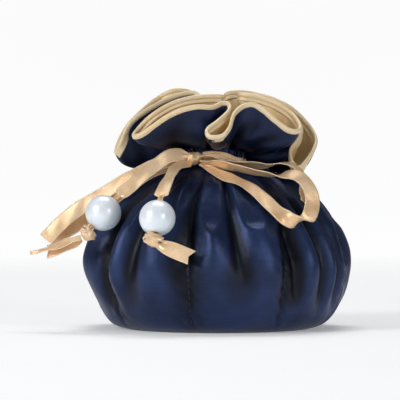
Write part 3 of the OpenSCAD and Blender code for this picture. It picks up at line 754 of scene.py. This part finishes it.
def wrapped_knot(name, centre, axis, radius, half, seed, turns=3):
    """A knot: bands of creased ribbon wound over each other round a centre."""
    rng = np.random.RandomState(seed)
    axis = unit(np.array(axis, float))
    side = unit(np.cross(axis, UP + 0.01))
    up = np.cross(side, axis)
    verts, faces, uvs = [], [], []
    count, sides = 56, 11
    for n in range(turns):
        tilt = rng.uniform(-0.55, 0.55, 2)
        ax = unit(axis + tilt[0] * side + tilt[1] * up)
        a = unit(np.cross(ax, up))
        b = np.cross(ax, a)
        push = rng.uniform(-0.35, 0.35) * half
        stretch = 1 + rng.uniform(-0.12, 0.22)
        phase = rng.uniform(0, 6.28, 3)
        s = np.linspace(-1, 1, sides)
        base = len(verts)
        for i in range(count):
            t = 2 * math.pi * i / count
            r = radius * (1 + 0.08 * math.sin(2 * t + phase[0]))
            ring = (math.cos(t) * a * stretch + math.sin(t) * b)
            width = half * (0.78 + 0.18 * math.sin(t * 2 + phase[1]))
            belly = r * np.sqrt(np.clip(1 - 0.72 * s * s, 0, 1)) + 0.16 * np.cos(s * 9 + 2 * t + phase[2])
            p = np.array(centre) + push * ax + s[:, None] * width * ax + belly[:, None] * ring
            inner = p - 0.8 * ring
            full = np.concatenate([p, inner[::-1]])
            verts.extend(full * MM)
            uvs.extend([(x, t * radius * MM) for x in np.concatenate([(s + 1) / 2, (s[::-1] + 1) / 2])])
        cols = 2 * sides
        for i in range(count):
            j = (i + 1) % count
            for k in range(cols):
                m = (k + 1) % cols
                corners = ((i, k), (j, k), (j, m), (i, m))
                faces.append(tuple(base + row * cols + col for row, col in corners))
    piece = new_piece(name, verts, faces, uvs)
    face_outwards(piece)
    return piece


def tube_ring(name, path, side, section):
    """A closed sweep of a section, (out, along side) pairs in millimetres, round a closed path."""
    along = unit(np.roll(path, -1, axis=0) - np.roll(path, 1, axis=0))
    a = unit(side - (side * along).sum(axis=1, keepdims=True) * along)
    b = np.cross(along, a)
    n, m = len(path), len(section)
    ring = (path[:, None, :] + np.array([p[0] for p in section])[None, :, None] * a[:, None, :]
            + np.array([p[1] for p in section])[None, :, None] * b[:, None, :])
    run = np.concatenate([[0], np.cumsum(np.linalg.norm(np.diff(path, axis=0), axis=1))])
    uvs = [(x, run[i] * MM) for i in range(n) for x in np.linspace(0, 0.006, m)]
    faces = [(i * m + k, (i + 1) % n * m + k, (i + 1) % n * m + (k + 1) % m, i * m + (k + 1) % m)
             for i in range(n) for k in range(m)]
    piece = new_piece(name, ring.reshape(-1, 3) * MM, faces, uvs)
    face_outwards(piece)
    return piece


# ---- settings ----

def colour(name, description, default):
    return bpy.props.FloatVectorProperty(
        name=name, description=description, default=default, size=3, min=0.0, max=1.0, subtype="COLOR",
        precision=4)


class PouchSettings(bpy.types.PropertyGroup):
    view_width: bpy.props.FloatProperty(
        name="View width", description="Width seen at the pouch's middle", default=0.16, unit="LENGTH")
    view_distance: bpy.props.FloatProperty(
        name="View distance", description="Distance from the camera to the pouch", default=1.2, unit="LENGTH")
    view_tilt: bpy.props.FloatProperty(
        name="View tilt", description="How far the camera looks down", default=math.radians(1.0),
        subtype="ANGLE")
    light: bpy.props.FloatProperty(
        name="Room light", description="Brightness of the white room", default=0.22, min=0.0)
    ribbon_width: bpy.props.FloatProperty(
        name="Ribbon width", description="Width of the drawstring ribbon", default=0.006, unit="LENGTH")
    bead_diameter: bpy.props.FloatProperty(
        name="Bead diameter", description="Diameter of each bead", default=0.014, unit="LENGTH")
    navy_deep: colour("Navy, deep", "The shell's deeper tone", (0.0075, 0.016, 0.052))
    navy_bright: colour("Navy, bright", "The shell's brighter tone", (0.022, 0.043, 0.128))
    # Painted shade: the colour the navy shell turns to in its deeper folds and towards the frill's neck
    navy_shaded: colour("Navy, hollow", "The shell at the bottom of its folds", (0.0014, 0.0026, 0.0095))
    lining_deep: colour("Lining, deep", "The lining's deeper tone", (0.60, 0.42, 0.20))
    lining_bright: colour("Lining, bright", "The lining's brighter tone", (0.76, 0.60, 0.34))
    binding_deep: colour("Binding, deep", "The mouth binding's deeper tone", (0.72, 0.54, 0.32))
    binding_bright: colour("Binding, bright", "The mouth binding's brighter tone", (0.84, 0.69, 0.45))
    ribbon_deep: colour("Ribbon, deep", "The ribbon's deeper tone", (0.74, 0.44, 0.20))
    ribbon_bright: colour("Ribbon, bright", "The ribbon's brighter tone", (0.97, 0.74, 0.49))
    pearl_deep: colour("Bead, deep", "The beads' deeper tone", (0.72, 0.80, 0.87))
    pearl_bright: colour("Bead, bright", "The beads' brighter tone", (0.86, 0.90, 0.94))
    thread: colour("Thread", "The sewing thread", (0.02, 0.03, 0.09))


# ---- operators ----

class POUCH_OT_stage(bpy.types.Operator):
    """Sets the floor, the white room, the soft lights and the camera"""
    bl_idname = "pouch.stage"
    bl_label = "Stage and camera"

    def execute(self, context):
        settings = context.scene.pouch
        scene = context.scene
        scene.view_settings.view_transform = "Standard"
        world = bpy.data.worlds.new("white_room")
        world.use_nodes = True
        world.node_tree.nodes["Background"].inputs[0].default_value = (0.86, 0.92, 1, 1)
        world.node_tree.nodes["Background"].inputs[1].default_value = settings.light
        scene.world = world
        floor = new_piece("floor", [(-4, -4, 0), (4, -4, 0), (4, 4, 0), (-4, 4, 0)], [(0, 1, 2, 3)])
        floor.data.materials.append(finish_of("floor"))
        turns = [2 * math.pi * k / BOWL_STEPS for k in range(BOWL_STEPS)]
        verts = [(r * math.cos(a), r * math.sin(a), z) for r, z in BOWL for a in turns]
        wall = new_piece("backdrop", verts, grid_faces(len(BOWL), BOWL_STEPS, True))
        for ray in ("diffuse", "glossy", "transmission", "shadow"):
            setattr(wall, "visible_" + ray, False)
        wall.data.materials.append(finish_of("backdrop"))
        for name, (turn, tilt, size, power, reach) in LIGHTS.items():
            lamp = bpy.data.lights.new(name, "AREA")
            lamp.shape = "RECTANGLE"
            lamp.size, lamp.size_y = size
            lamp.energy = power
            box = bpy.data.objects.new(name, lamp)
            a, e = math.radians(turn), math.radians(tilt)
            box.location = TARGET + reach * Vector(
                (math.sin(a) * math.cos(e), -math.cos(a) * math.cos(e), math.sin(e)))
            box.rotation_euler = (TARGET - box.location).to_track_quat("-Z", "Y").to_euler()
            scene.collection.objects.link(box)
        lens = bpy.data.cameras.new("camera")
        lens.sensor_width = SENSOR
        lens.lens = SENSOR * settings.view_distance / settings.view_width
        lens.clip_end = 20
        camera = bpy.data.objects.new("camera", lens)
        tilt = settings.view_tilt
        camera.location = TARGET + settings.view_distance * Vector((0, -math.cos(tilt), math.sin(tilt)))
        camera.rotation_euler = (math.radians(90) - tilt, 0, 0)
        scene.collection.objects.link(camera)
        scene.camera = camera
        return {"FINISHED"}


class POUCH_OT_ribbons(bpy.types.Operator):
    """Makes the bow's loops, the two ties and their cut ends, each a ribbon swept along its route"""
    bl_idname = "pouch.ribbons"
    bl_label = "Ribbon bow"

    def execute(self, context):
        ribbon = finish_of("ribbon")
        loops = (("ribbon_loop_right_front", LOOP_RIGHT_FRONT, "right_loop", "bow_loop_right_front", 1),
                 ("ribbon_loop_right_back", LOOP_RIGHT_BACK, "right_loop", "bow_loop_right_back", 2),
                 ("ribbon_loop_left", LOOP_LEFT, "left_loop", "bow_loop_left", 3))
        for name, route, body, node, seed in loops:
            x, y, z = TUCKED[name]
            first, last = route[0], route[-1]
            route = [(x, y, z, *first[3:6], 0.3)] + route[1:-1]
            if name != "ribbon_loop_right_back":
                route.append((x, y + 0.6, z - 0.9, *last[3:6], 0.35))
            piece, at = ribbon_piece(name, route, seed, 170)
            wear(piece, body, "ribbon_satin", ribbon, node)
            path_of(at)[0]
            path_of(at)
        knots = {
            "left": wrapped_knot("stop_knot_wrap_left", STOP_LEFT, (1, 0.25, -0.8), 2.3, 3.3, 31, 4),
            "front": wrapped_knot("stop_knot_wrap_front", STOP_FRONT, (1, 0, -0.45), 2.5, 3.9, 32, 4),
        }
        wear(knots["left"], "left_tail", "ribbon_satin", ribbon, "stop_knot_left")
        wear(knots["front"], "front_tail", "ribbon_satin", ribbon, "stop_knot_front")
        tips = {"left": [], "front": []}
        for name, route, side, node, seed, notch in (
                ("ribbon_end_left_wide", TIP_LEFT_WIDE, "left", "tip_left_wide", 4, -1.0),
                ("ribbon_end_left_thin", TIP_LEFT_THIN, "left", "tip_left_thin", 5, 0),
                ("ribbon_end_front", TIP_FRONT, "front", "tip_front", 6, -1.6)):
            piece, _ = ribbon_piece(name, route, seed, 48, 0.8, notch)
            wear(piece, side + "_tail", "ribbon_satin", ribbon, node)
            tips[side].append(piece)
        for side, route, seed in (("left", TAIL_LEFT, 7), ("front", TAIL_FRONT, 8)):
            name = "ribbon_tie_" + side
            bead = route[BEAD_PLACE[side]][:3]
            route = [(*TUCKED[name], *route[0][3:6], 0.4)] + route[1:]
            piece, at = ribbon_piece(name, route, seed, 120, bead=bead)
            wear(piece, side + "_tail", "ribbon_satin", ribbon, "tail_" + side)
            path_of(at)[0]
            path_of(at)
        return {"FINISHED"}


class POUCH_OT_knot(bpy.types.Operator):
    """Makes the bow's knot and the two short strands that lead to it out of the casing"""
    bl_idname = "pouch.knot"
    bl_label = "Bow knot"

    def execute(self, context):
        ribbon = finish_of("ribbon")
        knot = wrapped_knot("bow_knot_wraps", KNOT, (1, -0.1, -0.2), 2.5, 3.0, 33, 4)
        wear(knot, "pouch", "ribbon_satin", ribbon, "bow_knot")
        for side, route, seed in (("left", EXIT_LEFT, 9), ("right", EXIT_RIGHT, 10)):
            piece, _ = ribbon_piece("ribbon_exit_" + side, route, seed, 60, 0.4)
            wear(piece, "pouch", "ribbon_satin", ribbon, "exit_strand_" + side)
        return {"FINISHED"}


class POUCH_OT_cloth(bpy.types.Operator):
    """Makes the navy satin shell and the gold lining, gathered into the neck and spread into the frill"""
    bl_idname = "pouch.cloth"
    bl_label = "Shell and lining"

    def execute(self, context):
        shell = cloth_layer("satin_shell", 0.03, CLOTH_T)
        wear(shell, "pouch", "navy_satin", finish_of("navy"), "outer_shell")
        lining = cloth_layer("satin_lining", -CLOTH_T, -0.03)
        wear(lining, "pouch", "gold_lining_satin", finish_of("lining"), "lining")
        return {"FINISHED"}


class POUCH_OT_mouth(bpy.types.Operator):
    """Binds the wavy mouth edge"""
    bl_idname = "pouch.mouth"
    bl_label = "Mouth binding"

    def execute(self, context):
        made = cloth()
        section = [(0.4, 1.5), (0.62, 1.2), (0.74, 0.7), (0.68, 0.1), (0.42, -0.3), (0, -0.45), (-0.42, -0.3),
                   (-0.68, 0.1), (-0.74, 0.8), (-0.58, 1.2), (-0.38, 1.45), (-0.4, 1.62), (-0.7, 1.95),
                   (-0.76, 2.5), (-0.5, 3.1), (-0.2, 2.8), (0.1, 2.0)]
        side = made["out"][-1]
        for _ in range(10):
            side = unit(2 * side + np.roll(side, 1, axis=0) + np.roll(side, -1, axis=0))
        piece = tube_ring("binding_roll", made["edge"], side, section)
        wear(piece, "pouch", "gold_binding_satin", finish_of("binding"), "mouth_binding")
        return {"FINISHED"}


class POUCH_OT_beads(bpy.types.Operator):
    """Turns the two imitation pearls, each with a smooth bore"""
    bl_idname = "pouch.beads"
    bl_label = "Beads"

    def execute(self, context):
        radius = context.scene.pouch.bead_diameter / MM / 2
        rim = math.sqrt(radius ** 2 - BEAD_BORE ** 2)
        for side, route in (("left", TAIL_LEFT), ("front", TAIL_FRONT)):
            place = BEAD_PLACE[side]
            centre = Vector(route[place][:3]) * MM
            axis = (Vector(route[place + 1][:3]) - Vector(route[place - 1][:3])).normalized()
            turn = axis.to_track_quat("Z", "Y").to_euler()
            bpy.ops.object.select_all(action="DESELECT")
            bpy.ops.mesh.primitive_uv_sphere_add(segments=96, ring_count=64, radius=radius * MM,
                                                 location=centre, rotation=turn)
            piece = context.object
            piece.name = piece.data.name = "pearl_" + side
            bpy.ops.mesh.primitive_cylinder_add(vertices=64, radius=BEAD_BORE * MM, depth=3 * radius * MM,
                                                location=centre, rotation=turn)
            drill = context.object
            for made in (piece, drill):
                select_only(made)
                bpy.ops.object.transform_apply(location=True, rotation=True, scale=True)
            apply_modifier(piece, "BOOLEAN", object=drill, operation="DIFFERENCE")
            bpy.data.objects.remove(drill)
            select_only(piece)
            bpy.ops.object.mode_set(mode="EDIT")
            bpy.ops.mesh.select_mode(type="EDGE")
            bpy.ops.mesh.select_all(action="DESELECT")
            shape = bmesh.from_edit_mesh(piece.data)
            for edge in shape.edges:
                ends = [(v.co - centre) / MM for v in edge.verts]
                edge.select = all(abs(abs(p.dot(axis)) - rim) < 0.06
                                  and abs((p - p.dot(axis) * axis).length - BEAD_BORE) < 0.06 for p in ends)
            bmesh.update_edit_mesh(piece.data)
            bpy.ops.mesh.bevel(offset=0.22 * MM, segments=3, affect="EDGES")
            bpy.ops.object.mode_set(mode="OBJECT")
            bpy.ops.object.shade_smooth()
            wear(piece, side + "_bead", "pearl", finish_of("nacre"), "bead_" + side)
        return {"FINISHED"}


def wall_radius(z):
    """How far the cloth's middle is from the bag's axis at a height, all round."""
    rows = cloth()["rows"][:BODY_ROWS]
    radius = np.linalg.norm(rows[:, :, :2], axis=2)
    return np.array([np.interp(z, rows[:, k, 2], radius[:, k]) for k in range(AROUND)])


def round_points(radius, z):
    angle = np.radians(neck_angles())
    return np.stack([radius * np.cos(angle), radius * np.sin(angle), np.full(AROUND, z)], axis=1)


def stitches(name, path, long, gap, thick=0.16):
    """Short thread stitches laid end to end along a line, each a tapered six-sided bead of thread."""
    run = np.concatenate([[0], np.cumsum(np.linalg.norm(np.diff(path, axis=0), axis=1))])
    verts, faces = [], []
    for start in np.arange(0, run[-1] - long, long + gap):
        a, b = (np.array([np.interp(s, run, path[:, c]) for c in range(3)]) for s in (start, start + long))
        along = unit(b - a)
        side = unit(np.cross(along, UP + 0.013))
        up = np.cross(side, along)
        base = len(verts)
        for share, size in ((0, 0.4), (0.2, 1), (0.8, 1), (1, 0.4)):
            for k in range(6):
                verts.append((a + share * (b - a) + thick * size * (
                    math.cos(k * math.pi / 3) * side + math.sin(k * math.pi / 3) * up)) * MM)
        faces += [tuple(base + v for v in face) for face in grid_faces(4, 6, True)]
        faces += [tuple(base + 5 - k for k in range(6)), tuple(base + 18 + k for k in range(6))]
    return new_piece(name, verts, faces)


class POUCH_OT_inside(bpy.types.Operator):
    """Makes the gathered ring of pockets and its elastic, and finishes the base inside"""
    bl_idname = "pouch.inside"
    bl_label = "Pockets and base"

    def execute(self, context):
        angle = neck_angles()
        seam = np.abs(np.sin(np.radians(4 * (angle - SEAM_TURN))))
        rows = []
        count = 26
        for j in range(count):
            rise = j / (count - 1)
            z = 5 + 24 * rise
            wander = 40 * waves(angle, 51, 3, 9)
            gather = 0.35 * np.cos(np.radians(angle * 60 + wander)) * smoothstep(0.5, 1, rise)
            off = 1.0 + 7 * (0.25 + 0.75 * rise) * seam ** 0.8 + gather
            rows.append(round_points(wall_radius(z) - off, z))
        rows = np.array(rows)
        out = outward_of(rows)
        faces = grid_faces(count, AROUND, True)
        wall = new_piece("pocket_cloth", rows.reshape(-1, 3) * MM, faces, cloth_uv(rows))
        apply_modifier(wall, "SOLIDIFY", thickness=0.3 * MM, offset=0.0)
        wear(wall, "pouch", "gold_lining_satin", finish_of("lining"), "pocket_ring")
        section = [(0.5 * math.cos(k), 0.75 * math.sin(k)) for k in np.arange(10) * math.pi / 5]
        elastic = tube_ring("pocket_elastic_roll", rows[-1] + 0.6 * UP, out[-1], section)
        wear(elastic, "pouch", "elastic", finish_of("elastic"), "pocket_elastic")
        kinds = {"base_panel": "navy", "base_lining": "lining", "casing_ribbon": "ribbon",
                 "base_board": "board"}
        for name, key in kinds.items():
            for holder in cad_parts[name].material_slots:
                holder.material = finish_of(key)
        return {"FINISHED"}


class POUCH_OT_threads(bpy.types.Operator):
    """Sews the pocket seams and the casing's two rows, and works the two buttonholes"""
    bl_idname = "pouch.threads"
    bl_label = "Stitching"

    def execute(self, context):
        made = cloth()
        thread = finish_of("thread")
        heights = np.arange(4.0, 30.0, 0.5)
        seams = []
        walls = np.array([wall_radius(z) for z in heights])
        for i in range(8):
            k = int(round(((SEAM_TURN + 45 * i - NECK_START) % 360) / 360 * AROUND)) % AROUND
            a = math.radians(neck_angles()[k])
            r = walls[:, k] + CLOTH_T + 0.08
            line = np.stack([r * math.cos(a), r * math.sin(a), heights], axis=1)
            seams.append(stitches("pocket_seam_%d" % i, line, 1.6, 0.9, 0.13))
        select_only(seams[0])
        for piece in seams:
            piece.select_set(True)
        bpy.ops.object.join()
        wear(seams[0], "pouch", "navy_thread", thread, "pocket_seam_stitches")
        height = made["rows"][:BODY_ROWS, :, 2].mean(axis=1)
        for name, z in (("casing_stitch_lower", 66.6), ("casing_stitch_upper", 71.9)):
            j = int(np.argmin(np.abs(height - z)))
            line = made["rows"][j] + (CLOTH_T + 0.08) * made["out"][j]
            piece = stitches(name + "_row", line, 1.5, 0.7)
            wear(piece, "pouch", "navy_thread", thread, name)
        for name in ("buttonhole_left", "buttonhole_right"):
            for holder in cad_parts[name].material_slots:
                holder.material = thread
        return {"FINISHED"}


class POUCH_PT_panel(bpy.types.Panel):
    """Shows the pouch's settings and a button for each step"""
    bl_label = "Pouch"
    bl_idname = "POUCH_PT_panel"
    bl_space_type = "VIEW_3D"
    bl_region_type = "UI"
    bl_category = "Pouch"

    def draw(self, context):
        for name in PouchSettings.__annotations__:
            self.layout.prop(context.scene.pouch, name)
        for operator in OPERATORS:
            self.layout.operator(operator.bl_idname)


OPERATORS = (POUCH_OT_stage, POUCH_OT_beads, POUCH_OT_ribbons, POUCH_OT_knot, POUCH_OT_cloth, POUCH_OT_mouth,
             POUCH_OT_inside, POUCH_OT_threads)
CLASSES = (PouchSettings,) + OPERATORS + (POUCH_PT_panel,)


def register():
    for cls in CLASSES:
        bpy.utils.register_class(cls)
    bpy.types.Scene.pouch = bpy.props.PointerProperty(type=PouchSettings)


def unregister():
    del bpy.types.Scene.pouch
    for cls in reversed(CLASSES):
        bpy.utils.unregister_class(cls)


def main():
    register()
    for step in ("stage", "beads", "ribbons", "knot", "cloth", "mouth", "inside", "threads"):
        getattr(bpy.ops.pouch, step)()


if __name__ == "__main__":
    main()
